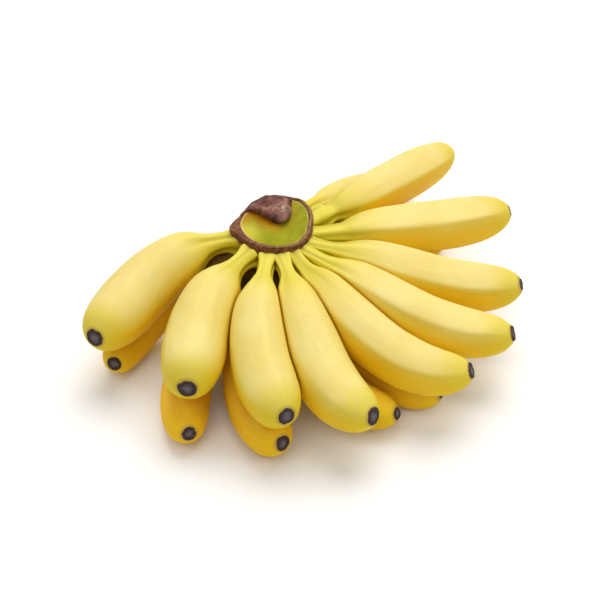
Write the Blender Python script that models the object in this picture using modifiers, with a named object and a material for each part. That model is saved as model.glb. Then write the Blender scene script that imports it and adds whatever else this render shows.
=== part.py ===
"""A hand of small yellow bananas, cut from its stalk and lying on the ground.

The crown is one solid and each fruit is one solid. Lengths are in metres, with +Z up. Everything is laid out
round the crown first, and an empty then moves the hand so that the middle of its footprint is the origin.
"""

import math
from collections import namedtuple

import bmesh
import bpy
import numpy as np
from mathutils import Matrix, Vector

MM = 0.001

# Crown: a cushion of stem. Its cut face has an uneven outline, which fades away down the side.
CROWN_X = -2 * MM
CROWN_Y = 1 * MM
CROWN_RADIUS = 22.5 * MM
CROWN_TOP = 62 * MM
CROWN_BOTTOM = 31 * MM
CROWN_WAIST = 20 * MM
CROWN_STEPS = 48
OUTLINE_REACH_DOWN = 14 * MM

# The outline of the cut face: bearings in degrees, and radii in millimetres.
OUTLINE = (
    (0, 21), (30, 24), (50, 25), (75, 23), (100, 23), (120, 21), (140, 19), (160, 19), (175, 21), (187, 24),
    (200, 21), (215, 19), (240, 18), (265, 18), (290, 19), (315, 21), (340, 21), (360, 21),
)
RIM_WIDTH = 2.5 * MM
FACE_TILT = math.radians(4)
FACE_DIP = 2.5 * MM

# The dried flap that curls over the back of the cut face.
FLAP_CENTRE = Vector((-3, 11, 61)) * MM
FLAP_SIZE = Vector((12, 9, 5)) * MM
FLAP_TURN = math.radians(18)

# Fruit: shares of its length, and the shares of its full radius there.
SHAPE = (
    (0.00, 0.30), (0.08, 0.27), (0.14, 0.29), (0.21, 0.43), (0.29, 0.66), (0.37, 0.82), (0.47, 0.94),
    (0.60, 1.00), (0.74, 1.00), (0.84, 0.94), (0.91, 0.82), (0.955, 0.66), (0.985, 0.45), (1.00, 0.27),
)
NECK_END = 0.37
STALK_END = 0.14
RIDGES = 5
SIDES = 3 * RIDGES
RINGS = 21
HANDLE = 0.38
RIDGE_HEIGHT = 0.02
NUB_LENGTH = 1 * MM
NUB_TAPER = 0.88

# Each row's roots: their height, and how far out from the crown's axis they start, as a share of its radius.
ROWS = {"upper": (52 * MM, 0.85), "middle": (48 * MM, 0.82), "lower": (41 * MM, 0.78)}

# Two fruits that press on each other keep this gap, and a neck keeps the other one from the crown.
FRUIT_GAP = 0.45 * MM
CROWN_GAP = 0.3 * MM

# Where each fruit starts, where its tip is, and how it is aimed at both ends. Bearings are plan angles in
# degrees from +X, pitches are degrees above level, and reach, height and girth are whole millimetres. Neck
# makes the neck shorter than usual when it is under 1, and stalk makes it thicker when it is over 1.
Fruit = namedtuple("Fruit", "name row root rise tip reach height aim lift girth neck stalk")

FRUITS = (
    Fruit("finger_01", "upper", 188, 6, 214, 111, 39, 243, 12, 33, 0.8, 1.15),
    Fruit("finger_02", "upper", 230, 3, 247, 109, 42, 268, 8, 33, 0.85, 1.1),
    Fruit("finger_03", "upper", 262, 8, 273, 116, 39, 300, 14, 31, 0.85, 1.0),
    Fruit("finger_04", "upper", 286, 3, 293, 123, 36, 322, 18, 31, 0.75, 1.0),
    Fruit("finger_05", "upper", 305, 1, 320, 128, 36, 354, 22, 28, 0.65, 1.1),
    Fruit("finger_06", "upper", 323, 3, 335, 134, 37, 353, 20, 28, 0.75, 1.1),
    Fruit("finger_07", "upper", 342, 3, 350, 131, 40, 352, 20, 28, 0.75, 1.1),
    Fruit("finger_08", "upper", 2, 6, 15, 133, 43, 10, 12, 28, 0.7, 1.3),
    Fruit("finger_09", "upper", 28, 10, 40, 130, 47, 36, 4, 26, 0.7, 2.0),
    Fruit("finger_10", "lower", 192, -8, 214, 102, 15, 262, 22, 23, 1.0, 1.9),
    Fruit("finger_11", "lower", 226, -24, 248, 114, 15, 288, 20, 26, 1.0, 1.1),
    Fruit("finger_12", "lower", 252, -24, 272, 113, 16, 308, 20, 28, 1.0, 1.1),
    Fruit("finger_13", "lower", 278, -24, 304, 110, 14, 335, 20, 24, 1.0, 1.1),
    Fruit("finger_14", "lower", 306, -24, 318, 114, 13, 336, 16, 24, 1.0, 1.1),
    Fruit("finger_15", "lower", 334, -24, 338, 106, 14, 345, 20, 25, 1.0, 1.1),
    Fruit("finger_16", "lower", 2, -24, 4, 106, 14, 8, 20, 25, 1.0, 1.1),
    Fruit("finger_17", "middle", 20, -12, 29, 108, 13, 30, 20, 25, 1.0, 1.2),
    Fruit("finger_18", "middle", 59, -3, 55, 136, 10, 50, 4, 26, 1.1, 1.4),
)

PEEL = ("peel", (0.83, 0.60, 0.11, 1), 0.42)
CROWN_SKIN = ("crown_skin", (0.24, 0.16, 0.07, 1), 0.75)


def clear_scene():
    for old in list(bpy.data.objects):
        bpy.data.objects.remove(old, do_unlink=True)


def new_collection(name):
    collection = bpy.data.collections.new(name)
    bpy.context.scene.collection.children.link(collection)
    return collection


def new_material(name, colour, roughness):
    material = bpy.data.materials.new(name)
    material.use_nodes = True
    shader = material.node_tree.nodes["Principled BSDF"]
    shader.inputs["Base Color"].default_value = colour
    shader.inputs["Roughness"].default_value = roughness
    shader.inputs["Metallic"].default_value = 0
    return material


def direction(bearing, pitch):
    """The unit vector at this bearing and pitch, both in degrees."""
    turn, slope = math.radians(bearing), math.radians(pitch)
    return np.array((math.cos(turn) * math.cos(slope), math.sin(turn) * math.cos(slope), math.sin(slope)))


def smooth_curve(knots, at):
    """Reads a curve through the knots that never swings past one of them, at each value in at."""
    x, y = (np.array(column, float) for column in zip(*knots))
    step = np.diff(x)
    slope = np.diff(y) / step
    tangent = np.zeros_like(x)
    tangent[0], tangent[-1] = slope[0], 1.6 * slope[-1]
    for k in range(1, len(x) - 1):
        if slope[k - 1] * slope[k] > 0:
            before, after = 2 * step[k] + step[k - 1], step[k] + 2 * step[k - 1]
            tangent[k] = (before + after) / (before / slope[k - 1] + after / slope[k])
    piece = np.clip(np.searchsorted(x, at) - 1, 0, len(x) - 2)
    t = (at - x[piece]) / step[piece]
    rising = y[piece + 1] * t * t * (3 - 2 * t) + y[piece] * (1 + 2 * t) * (1 - t) ** 2
    return rising + step[piece] * t * (1 - t) * (tangent[piece] * (1 - t) - tangent[piece + 1] * t)


def fruit_radius(fruit, share):
    """The fruit's radius at these shares of its length."""
    body = (1 - NECK_END * fruit.neck) / (1 - NECK_END)
    knots = []
    for at, size in SHAPE:
        moved = at * fruit.neck if at <= NECK_END else NECK_END * fruit.neck + (at - NECK_END) * body
        knots.append((moved, size * fruit.stalk if at <= STALK_END else size))
    return fruit.girth / 2 * MM * smooth_curve(knots, share)


def outline_radius(bearing):
    """The radius of the cut face at this bearing, in radians."""
    along = math.degrees(bearing) % 360
    for (start, inner), (end, outer) in zip(OUTLINE, OUTLINE[1:]):
        if along <= end:
            break
    t = (along - start) / (end - start)
    return MM * (inner + (outer - inner) * t * t * (3 - 2 * t))


def fruit_axis(fruit, share):
    """Points along the fruit's bent axis, from inside the crown to the tip."""
    height, inset = ROWS[fruit.row]
    root = CROWN_RADIUS * inset * direction(fruit.root, 0)
    start = np.array((CROWN_X, CROWN_Y, height)) + root
    end = fruit.reach * MM * direction(fruit.tip, 0)
    end[2] = fruit.height * MM
    handle = HANDLE * np.linalg.norm(end - start)
    bends = (start, start + handle * direction(fruit.root, fruit.rise),
             end - handle * direction(fruit.aim, fruit.lift), end)
    t = np.linspace(0, 1, 400)[:, None]
    line = sum(math.comb(3, k) * (1 - t) ** (3 - k) * t ** k * bends[k] for k in range(4))
    run = np.concatenate(([0], np.cumsum(np.linalg.norm(np.diff(line, axis=0), axis=1))))
    return np.stack([np.interp(share * run[-1], run, line[:, i]) for i in range(3)], axis=1)


def ring_shares():
    """Where the rings stand along a fruit: close together at its two ends."""
    t = np.linspace(0, 1, RINGS)
    return t - 0.09 * np.sin(2 * math.pi * t)


def section_curve(collection):
    """The outline of a fruit, 1 m in radius: a circle with five low ridges, one of them on top."""
    data = bpy.data.curves.new("section", "CURVE")
    data.dimensions = "2D"
    spline = data.splines.new("POLY")
    spline.points.add(SIDES - 1)
    for k, point in enumerate(spline.points):
        angle = math.pi / 2 + 2 * math.pi * k / SIDES
        size = 1 + RIDGE_HEIGHT * math.cos(RIDGES * (angle - math.pi / 2))
        point.co = (size * math.cos(angle), size * math.sin(angle), 0, 1)
    spline.use_cyclic_u = True
    section = bpy.data.objects.new("section", data)
    section.hide_render = True
    section.display_type = "WIRE"
    collection.objects.link(section)
    return section


def fruit_curve(fruit, section, collection):
    """The fruit as a tube along its axis, with the dried nub as two last rings."""
    shares = ring_shares()
    points = fruit_axis(fruit, shares)
    radii = fruit_radius(fruit, shares)
    ahead = points[-1] - points[-2]
    nub_end = points[-1] + NUB_LENGTH * ahead / np.linalg.norm(ahead)
    points = np.vstack((points, nub_end))
    radii = np.append(radii, radii[-1] * NUB_TAPER)
    data = bpy.data.curves.new(fruit.name + "_axis", "CURVE")
    data.dimensions = "3D"
    data.twist_mode = "Z_UP"
    data.bevel_mode = "OBJECT"
    data.bevel_object = section
    data.use_fill_caps = True
    spline = data.splines.new("POLY")
    spline.points.add(len(points) - 1)
    for place, co, radius in zip(spline.points, points, radii):
        place.co = (*co, 1)
        place.radius = radius
    curve = bpy.data.objects.new(fruit.name + "_axis", data)
    collection.objects.link(curve)
    return curve


def mesh_from_curve(curve, name, collection):
    """Makes the tube a closed mesh object and removes the curve."""
    bpy.context.view_layer.update()
    graph = bpy.context.evaluated_depsgraph_get()
    mesh = bpy.data.meshes.new_from_object(curve.evaluated_get(graph))
    mesh.name = name
    shell = bmesh.new()
    shell.from_mesh(mesh)
    bmesh.ops.remove_doubles(shell, verts=shell.verts, dist=0.01 * MM)
    bmesh.ops.recalc_face_normals(shell, faces=shell.faces)
    shell.to_mesh(mesh)
    shell.free()
    solid = bpy.data.objects.new(name, mesh)
    collection.objects.link(solid)
    solid.matrix_world = curve.matrix_world.copy()
    bpy.data.objects.remove(curve, do_unlink=True)
    return solid


def nearest(points, axis):
    """For each point, the index of the nearest axis point and the distance to it."""
    apart = np.linalg.norm(points[:, None] - axis[None], axis=2)
    index = apart.argmin(axis=1)
    return index, apart[np.arange(len(points)), index]


def room_kept(points, own, other):
    """How far out from its own axis each point may stay, as a share, to clear the other fruit."""
    axis, radius = own
    other_axis, other_radius = other
    index, _ = nearest(points, axis)
    foot = axis[index]

    def spare(share):
        moved = foot + share[:, None] * (points - foot)
        near, apart = nearest(moved, other_axis)
        inside = np.linalg.norm(moved - foot, axis=1) - radius[index]
        return apart - other_radius[near] - inside - FRUIT_GAP

    kept = np.ones(len(points))
    pressed = spare(kept) < 0
    low, high = np.zeros(len(points)), np.ones(len(points))
    for _ in range(14):
        middle = (low + high) / 2
        clear = spare(middle) >= 0
        low = np.where(clear, middle, low)
        high = np.where(clear, high, middle)
    kept[pressed] = low[pressed]
    return kept


def press_together(solids, axes):
    """Flattens each fruit where it lies against a neighbour or on the ground."""
    for name, solid in solids.items():
        mesh = solid.data
        points = np.empty(3 * len(mesh.vertices))
        mesh.vertices.foreach_get("co", points)
        points = points.reshape(-1, 3)
        kept = np.ones(len(points))
        for other, line in axes.items():
            if other != name:
                kept = np.minimum(kept, room_kept(points, axes[name], line))
        foot = axes[name][0][nearest(points, axes[name][0])[0]]
        points = foot + kept[:, None] * (points - foot)
        points[:, 2] = np.maximum(points[:, 2], 0)
        mesh.vertices.foreach_set("co", points.ravel())
        mesh.update()


def crown_profile(allowance):
    """Radius and height down the crown's outer side, from the middle of the cut face to the underside."""
    rim = CROWN_RADIUS + allowance
    top = CROWN_TOP + allowance
    bottom = CROWN_BOTTOM - allowance
    waist = CROWN_WAIST + allowance
    face = top - FACE_DIP
    return (
        (0, face),
        (rim - 3 * RIM_WIDTH, face),
        (rim - 1.6 * RIM_WIDTH, face + 0.3 * FACE_DIP),
        (rim - RIM_WIDTH, top - 0.3 * MM),
        (rim - 0.6 * RIM_WIDTH, top),
        (rim - 0.2 * RIM_WIDTH, top - 0.7 * MM),
        (rim, top - 2.5 * MM),
        (rim - 0.3 * MM, top - 7 * MM),
        (waist + 0.8 * MM, top - 15 * MM),
        (waist, bottom + 9 * MM),
        (waist - 2.5 * MM, bottom + 4 * MM),
        (waist - 7 * MM, bottom + MM),
        (0, bottom),
    )


def turned_crown(name, collection, allowance):
    """The crown as a turned solid in its place, pushed to the outline of the cut face towards its top."""
    mesh = bpy.data.meshes.new(name + "_profile")
    profile = [(radius, 0, height - CROWN_TOP) for radius, height in crown_profile(allowance)]
    mesh.from_pydata(profile, [(k, k + 1) for k in range(len(profile) - 1)], [])
    turning = bpy.data.objects.new(name + "_profile", mesh)
    turn = turning.modifiers.new("turn", "SCREW")
    turn.steps = CROWN_STEPS
    turn.render_steps = CROWN_STEPS
    turn.use_merge_vertices = True
    turn.merge_threshold = 0.00001
    collection.objects.link(turning)
    bpy.context.view_layer.update()
    solid = bpy.data.meshes.new_from_object(turning.evaluated_get(bpy.context.evaluated_depsgraph_get()))
    bpy.data.objects.remove(turning, do_unlink=True)
    for vertex in solid.vertices:
        bearing = math.atan2(vertex.co.y, vertex.co.x)
        high = min(max(1 + vertex.co.z / OUTLINE_REACH_DOWN, 0), 1)
        push = high * (outline_radius(bearing) - CROWN_RADIUS)
        vertex.co.xy *= 1 + push / CROWN_RADIUS
    shell = bmesh.new()
    shell.from_mesh(solid)
    bmesh.ops.triangulate(shell, faces=shell.faces, quad_method="FIXED")
    shell.to_mesh(solid)
    shell.free()
    solid.shade_smooth()
    crown = bpy.data.objects.new(name, solid)
    crown.location = (CROWN_X, CROWN_Y, CROWN_TOP)
    crown.rotation_euler = (FACE_TILT, 0, 0)
    collection.objects.link(crown)
    return crown


def flap_solid(collection):
    """The lump that the dried flap fills, to be joined to the crown."""
    mesh = bpy.data.meshes.new("flap")
    shell = bmesh.new()
    bmesh.ops.create_uvsphere(shell, u_segments=20, v_segments=10, radius=1)
    shell.to_mesh(mesh)
    shell.free()
    flap = bpy.data.objects.new("flap", mesh)
    place = Matrix.Translation(FLAP_CENTRE) @ Matrix.Rotation(FLAP_TURN, 4, "Z")
    flap.matrix_world = place @ Matrix.Diagonal((*FLAP_SIZE, 1))
    flap.hide_render = True
    flap.display_type = "WIRE"
    collection.objects.link(flap)
    return flap


def add_boolean(solid, operation, other):
    cut = solid.modifiers.new(other.name, "BOOLEAN")
    cut.operation = operation
    cut.solver = "EXACT"
    cut.object = other


def build_crown(parts, cutters):
    crown = turned_crown("crown", parts, 0)
    add_boolean(crown, "UNION", flap_solid(cutters))
    crown.data.materials.append(new_material(*CROWN_SKIN))
    return crown


def build_fruits(parts, cutters):
    section = section_curve(cutters)
    solids = {}
    axes = {}
    fine = np.linspace(0, 1, 90)
    for fruit in FRUITS:
        curve = fruit_curve(fruit, section, parts)
        solids[fruit.name] = mesh_from_curve(curve, fruit.name, parts)
        axes[fruit.name] = (fruit_axis(fruit, fine), fruit_radius(fruit, fine))
    press_together(solids, axes)
    socket = turned_crown("crown_socket", cutters, CROWN_GAP)
    socket.hide_render = True
    socket.display_type = "WIRE"
    for solid in solids.values():
        solid.data.materials.append(new_material(*PEEL))
        solid.data.shade_smooth()
        add_boolean(solid, "DIFFERENCE", socket)
    return list(solids.values())


def centre_on_origin(pieces, cutters, parts):
    """Hangs everything on an empty that puts the middle of the footprint at the origin."""
    bpy.context.view_layer.update()
    graph = bpy.context.evaluated_depsgraph_get()
    corners = []
    for piece in pieces:
        seen = piece.evaluated_get(graph)
        corners += [seen.matrix_world @ Vector(corner) for corner in seen.bound_box]
    low = [min(corner[i] for corner in corners) for i in range(2)]
    high = [max(corner[i] for corner in corners) for i in range(2)]
    hand = bpy.data.objects.new("hand", None)
    parts.objects.link(hand)
    hand.location = (-(low[0] + high[0]) / 2, -(low[1] + high[1]) / 2, 0)
    for piece in pieces + [helper for helper in cutters.objects if helper.type == "MESH"]:
        piece.parent = hand


def main():
    clear_scene()
    parts = new_collection("banana_hand")
    cutters = new_collection("cutters")
    pieces = [build_crown(parts, cutters)] + build_fruits(parts, cutters)
    centre_on_origin(pieces, cutters, parts)


main()
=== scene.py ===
import math
import bpy
import numpy as np
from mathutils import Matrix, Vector, noise


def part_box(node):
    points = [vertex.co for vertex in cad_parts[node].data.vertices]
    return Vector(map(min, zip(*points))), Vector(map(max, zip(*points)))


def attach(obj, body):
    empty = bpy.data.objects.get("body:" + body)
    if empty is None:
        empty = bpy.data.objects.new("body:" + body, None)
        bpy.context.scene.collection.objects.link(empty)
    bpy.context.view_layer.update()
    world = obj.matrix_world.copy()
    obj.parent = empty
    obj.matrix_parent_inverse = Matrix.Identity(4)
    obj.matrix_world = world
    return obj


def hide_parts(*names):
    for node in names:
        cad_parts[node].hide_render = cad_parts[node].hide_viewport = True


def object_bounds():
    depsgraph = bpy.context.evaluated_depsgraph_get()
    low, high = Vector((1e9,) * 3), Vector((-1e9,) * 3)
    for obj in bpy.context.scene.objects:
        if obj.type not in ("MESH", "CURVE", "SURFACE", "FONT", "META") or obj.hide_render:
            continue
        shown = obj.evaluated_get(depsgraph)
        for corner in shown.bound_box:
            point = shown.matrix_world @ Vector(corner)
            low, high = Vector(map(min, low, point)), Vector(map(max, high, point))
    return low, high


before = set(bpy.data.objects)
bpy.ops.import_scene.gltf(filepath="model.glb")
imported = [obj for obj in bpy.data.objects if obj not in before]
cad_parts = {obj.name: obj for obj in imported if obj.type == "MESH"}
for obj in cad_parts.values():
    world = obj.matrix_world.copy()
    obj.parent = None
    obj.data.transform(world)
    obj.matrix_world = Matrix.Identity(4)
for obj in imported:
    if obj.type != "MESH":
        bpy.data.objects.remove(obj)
cadLow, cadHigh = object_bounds()
mm = 0.001

# Banana hand: how it stands and how it was cut from its stalk
handLayout = {
    "crownX": -2 * mm,  # crown axis in the hand's own plan, before the hand is centred
    "crownY": 1 * mm,
    "crownTop": 62 * mm,
    "crownRadius": 22.5 * mm,
    "outlineFade": 14 * mm,  # how far down the side the uneven outline dies away
    "outline": (  # bearing in degrees, radius of the crown's edge in millimetres
        (0, 21), (30, 24), (50, 25), (75, 23), (100, 23), (120, 21), (140, 19), (160, 19), (175, 21),
        (187, 24), (200, 21), (215, 19), (240, 18), (265, 18), (290, 19), (315, 21), (340, 21), (360, 21),
    ),
    "side": ((22.5, 2.5), (22.2, 7), (20.8, 15), (20, 22)),  # radius and depth down the side, in millimetres
    "faceTilt": math.radians(4),
    "turningStep": 7.5,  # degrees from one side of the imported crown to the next
    # height of each row's roots, and how far out they start as a share of the crown's radius
    "rows": {"upper": (52 * mm, 0.85), "middle": (48 * mm, 0.82), "lower": (41 * mm, 0.78)},
}

# One line a fruit: bearings and pitches in degrees, reach, height and girth in millimetres.
# edge is how angular the fruit is, turn how far its ridges are turned from the top, green how much green
# its neck keeps, warm how far it has ripened and, on the shaded lower row, how much painted shade it
# carries, cap how wide its dried end is against the usual.
fruitTable = {
    "finger_01": ("upper", 188, 6, 214, 111, 39, 243, 12, 33, 0.8, 1.15, 0.12, 10, 0.7, 0.1, 1.04),
    "finger_02": ("upper", 230, 3, 247, 109, 42, 268, 8, 33, 0.85, 1.1, 0.16, 20, 0.7, 0.0, 0.98),
    "finger_03": ("upper", 262, 8, 273, 116, 39, 300, 14, 31, 0.85, 1.0, 0.20, 8, 0.8, 0.0, 0.98),
    "finger_04": ("upper", 286, 3, 293, 123, 36, 322, 18, 31, 0.75, 1.0, 0.22, 25, 0.8, 0.0, 1.00),
    "finger_05": ("upper", 305, 1, 320, 128, 36, 354, 22, 28, 0.65, 1.1, 0.48, 19, 0.8, 0.1, 1.08),
    "finger_06": ("upper", 323, 3, 335, 134, 37, 353, 20, 28, 0.75, 1.1, 0.54, 31, 0.9, 0.1, 1.02),
    "finger_07": ("upper", 342, 3, 350, 131, 40, 352, 20, 28, 0.75, 1.1, 0.64, 19, 0.9, 0.1, 0.76),
    "finger_08": ("upper", 2, 6, 15, 133, 43, 10, 12, 28, 0.7, 1.3, 0.70, 27, 1.0, 0.2, 0.80),
    "finger_09": ("upper", 28, 10, 40, 130, 47, 36, 4, 26, 0.7, 2.0, 0.64, 10, 1.0, 0.2, 0.70),
    "finger_10": ("lower", 192, -8, 214, 102, 15, 262, 22, 23, 1.0, 1.9, 0.20, 10, 0.5, 0.7, 1.14),
    "finger_11": ("lower", 226, -24, 248, 114, 15, 288, 20, 26, 1.0, 1.1, 0.16, 15, 0.5, 1.0, 0.96),
    "finger_12": ("lower", 252, -24, 272, 113, 16, 308, 20, 28, 1.0, 1.1, 0.18, 5, 0.5, 0.9, 0.98),
    "finger_13": ("lower", 278, -24, 304, 110, 14, 335, 20, 24, 1.0, 1.1, 0.18, 20, 0.6, 0.6, 0.92),
    "finger_14": ("lower", 306, -24, 318, 114, 13, 336, 16, 24, 1.0, 1.1, 0.24, 12, 0.6, 0.8, 0.70),
    "finger_15": ("lower", 334, -24, 338, 106, 14, 345, 20, 25, 1.0, 1.1, 0.30, 18, 0.7, 0.4, 0.90),
    "finger_16": ("lower", 2, -24, 4, 106, 14, 8, 20, 25, 1.0, 1.1, 0.34, 6, 0.7, 0.4, 0.90),
    "finger_17": ("middle", 20, -12, 29, 108, 13, 30, 20, 25, 1.0, 1.2, 0.34, 22, 0.7, 0.4, 0.90),
    "finger_18": ("middle", 59, -3, 55, 136, 10, 50, 4, 26, 1.1, 1.4, 0.40, 14, 0.9, 0.2, 0.90),
}
fruitColumns = ("row", "root", "rise", "tip", "reach", "height", "aim", "lift", "girth", "neck", "stalk",
                "edge", "turn", "green", "warm", "cap")

fruitForm = {
    "shape": (  # share of the length, share of the full radius
        (0.00, 0.30), (0.08, 0.27), (0.14, 0.29), (0.21, 0.43), (0.29, 0.66), (0.37, 0.82), (0.47, 0.94),
        (0.60, 1.00), (0.74, 1.00), (0.84, 0.94), (0.91, 0.82), (0.955, 0.66), (0.985, 0.45), (1.00, 0.27),
    ),
    "bluntness": 1.6,  # how steeply the end closes
    "stalkEnd": 0.14,
    "neckEnd": 0.37,
    "handle": 0.38,  # reach of the axis's two handles, as a share of the way from root to tip
    "faces": 5,
    "ridgeRound": math.radians(4),  # how softly a ridge turns over
    "ridgeMean": 0.91,  # radius of the angular section, averaged round it
    "ridgeGrowth": ((5, 0.3), (9, 0.25)),  # from the root and from the tip: how fast, and the least of it
    "sides": 90,
    "rings": 120,
    "bunching": 0.10,  # how much closer the rings stand at both ends
    "axisSteps": 140,
    "curveSteps": 600,
    "gap": 0.03 * mm,  # kept between fruits that press on each other
    "soften": 1.6 * mm,  # how softly a pressed face turns into the round one
    "deepest": 0.2,  # the least share of its radius that a pressed fruit keeps
    "halvings": 13,
    "edgeMargin": 0.05 * mm,  # kept from the sides of the CAD box
    "lump": 0.012,
    "lumpWaves": ((2, 9, 1), (3, -14, 2)),  # times round, turn along the fruit, shift by its number
    "rootDepth": 1.5 * mm,  # how deep in the crown's wall a neck starts to narrow
    "flare": 1.1 * mm,  # how much wider a neck is where it grows out of the crown
    "flareRun": 3.5 * mm,
    "square": 0.10,  # how squarish a neck is at the crown
    "squareRun": 7 * mm,  # how far out from the crown it stays so
    "groove": 0.10,  # depth of the lengthwise grooves of the neck, as a share of its radius
    "grooveWaves": ((0.5, 5, 1), (0.3, 8, 2.3), (0.3, 3, -1)),  # depth, times round, shift by its number
    "grooveRun": (0.36, 0.10),  # shares of the length between which the grooves grow to their full depth
    "creviceShade": 1.6 * mm,  # how near another fruit the painted shade starts to darken the skin
    "creviceShadeFull": 0.1 * mm,
}


def direction(bearing, pitch):
    turn, slope = math.radians(bearing), math.radians(pitch)
    return np.array((math.cos(turn) * math.cos(slope), math.sin(turn) * math.cos(slope), math.sin(slope)))


def around(knots, bearing):
    at, radius = zip(*knots)
    return np.interp(np.degrees(bearing) % 360, at, radius) * mm


# Radius of the crown's edge, with the corners between its knots rounded off
def crownOutline(bearing, depth, knots=handLayout["outline"]):
    nearby = ((-8, 0.1), (-4, 0.2), (0, 0.4), (4, 0.2), (8, 0.1))  # degrees to the side, weight
    edge = sum(weight * around(knots, bearing + np.radians(turn)) for turn, weight in nearby)
    fade = np.clip(1 - depth / handLayout["outlineFade"], 0, 1)
    return handLayout["crownRadius"] + fade * (edge - handLayout["crownRadius"])


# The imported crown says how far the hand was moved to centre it
def findHandShift():
    bearing = np.radians(np.arange(0, 360, handLayout["turningStep"]))
    tilt = handLayout["faceTilt"]
    x, y = [], []
    for radius, depth in handLayout["side"]:
        edge = around(handLayout["outline"], bearing)
        fade = np.clip(1 - depth * mm / handLayout["outlineFade"], 0, 1)
        ring = radius * mm * (1 + fade * (edge / handLayout["crownRadius"] - 1))
        x.append(ring * np.cos(bearing))
        y.append(ring * np.sin(bearing) * math.cos(tilt) + depth * mm * math.sin(tilt))
    low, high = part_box("crown")
    shiftX = (low[0] + high[0]) / 2 - (np.max(x) + np.min(x)) / 2 - handLayout["crownX"]
    shiftY = (low[1] + high[1]) / 2 - (np.max(y) + np.min(y)) / 2 - handLayout["crownY"]
    return np.array((shiftX, shiftY, 0.0))


handShift = findHandShift()
crownAxis = np.array((handLayout["crownX"], handLayout["crownY"], 0.0)) + handShift
print("hand moved by", handShift)


# Reads a curve through the knots that never swings past one of them
def smoothCurve(knots, at):
    x, y = (np.array(column, float) for column in zip(*knots))
    step = np.diff(x)
    slope = np.diff(y) / step
    tangent = np.zeros_like(x)
    tangent[0], tangent[-1] = slope[0], fruitForm["bluntness"] * slope[-1]
    for k in range(1, len(x) - 1):
        if slope[k - 1] * slope[k] > 0:
            before, after = 2 * step[k] + step[k - 1], step[k] + 2 * step[k - 1]
            tangent[k] = (before + after) / (before / slope[k - 1] + after / slope[k])
    piece = np.clip(np.searchsorted(x, at) - 1, 0, len(x) - 2)
    t = (at - x[piece]) / step[piece]
    rising = y[piece + 1] * t * t * (3 - 2 * t) + y[piece] * (1 + 2 * t) * (1 - t) ** 2
    return rising + step[piece] * t * (1 - t) * (tangent[piece] * (1 - t) - tangent[piece + 1] * t)


def fruitRadius(fruit, share):
    neckEnd = fruitForm["neckEnd"]
    body = (1 - neckEnd * fruit["neck"]) / (1 - neckEnd)
    knots = []
    for at, size in fruitForm["shape"]:
        moved = at * fruit["neck"] if at <= neckEnd else neckEnd * fruit["neck"] + (at - neckEnd) * body
        knots.append((moved, size * fruit["stalk"] if at <= fruitForm["stalkEnd"] else size))
    return fruit["girth"] / 2 * mm * smoothCurve(knots, share)


# Centre line with its own sideways and upward directions, read at each share of its length
def fruitLine(fruit, share):
    height, inset = handLayout["rows"][fruit["row"]]
    start = np.array((handLayout["crownX"], handLayout["crownY"], height))
    start = start + handLayout["crownRadius"] * inset * direction(fruit["root"], 0)
    end = fruit["reach"] * mm * direction(fruit["tip"], 0)
    end[2] = fruit["height"] * mm
    handle = fruitForm["handle"] * np.linalg.norm(end - start)
    bends = (start, start + handle * direction(fruit["root"], fruit["rise"]),
             end - handle * direction(fruit["aim"], fruit["lift"]), end)
    t = np.linspace(0, 1, fruitForm["curveSteps"])[:, None]
    line = sum(math.comb(3, k) * (1 - t) ** (3 - k) * t ** k * bends[k] for k in range(4))
    run = np.concatenate(([0], np.cumsum(np.linalg.norm(np.diff(line, axis=0), axis=1))))
    centre = np.stack([np.interp(share * run[-1], run, line[:, i]) for i in range(3)], axis=1)
    along = np.gradient(line, axis=0)
    along /= np.linalg.norm(along, axis=1)[:, None]
    along = np.stack([np.interp(share * run[-1], run, along[:, i]) for i in range(3)], axis=1)
    along /= np.linalg.norm(along, axis=1)[:, None]
    side = np.cross(along, (0, 0, 1))
    side /= np.linalg.norm(side, axis=1)[:, None]
    return centre + handShift, along, side, np.cross(side, along), run[-1]


# How far round the section each angle is from the nearest ridge
def ridgeAngle(angle, fruit):
    wedge = 2 * math.pi / fruitForm["faces"]
    return np.mod(angle - math.pi / 2 - math.radians(fruit["turn"]) + wedge / 2, wedge) - wedge / 2


# A rounded five-sided section: 1 on average, more at its ridges and less on its faces
def sectionShape(angle, fruit):
    wedge = 2 * math.pi / fruitForm["faces"]
    toRidge = wedge / 2 - np.sqrt(ridgeAngle(angle, fruit) ** 2 + fruitForm["ridgeRound"] ** 2)
    flat = math.cos(wedge / 2) / np.cos(toRidge)
    return 1 + fruit["edge"] * (flat - fruitForm["ridgeMean"])


def readFruits():
    fruits = {}
    for name, values in fruitTable.items():
        fruit = dict(zip(fruitColumns, values), name=name, number=int(name[-2:]))
        share = np.linspace(0, 1, fruitForm["axisSteps"])
        centre, along, side, up, length = fruitLine(fruit, share)
        radius = fruitRadius(fruit, share)
        fruit.update(centre=centre, along=along, side=side, up=up, radius=radius)
        fruit["slope"] = np.gradient(radius, share * length)
        fruits[name] = fruit
    return fruits


# Signed distance from points to another fruit's skin, measured square to its axis
def skinDistance(points, fruit):
    centre = fruit["centre"]
    square = (points ** 2).sum(1)[:, None] - 2 * points @ centre.T + (centre ** 2).sum(1)[None]
    near = square.argmin(axis=1)
    away = points - centre[near]
    ahead = (away * fruit["along"][near]).sum(1)
    last = len(centre) - 1
    past = ((near == last) & (ahead > 0)) | ((near == 0) & (ahead < 0))
    radial = np.sqrt(np.maximum((away ** 2).sum(1) - np.where(past, 0, ahead ** 2), 1e-12))
    angle = np.arctan2((away * fruit["up"][near]).sum(1), (away * fruit["side"][near]).sum(1))
    radius = fruit["radius"][near] + fruit["slope"][near] * np.where(past, 0, ahead)
    return radial - radius * sectionShape(angle, fruit)


def softMin(a, b, width):
    blend = np.maximum(width - np.abs(a - b), 0) / width
    return np.minimum(a, b) - blend * blend * width / 4


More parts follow.
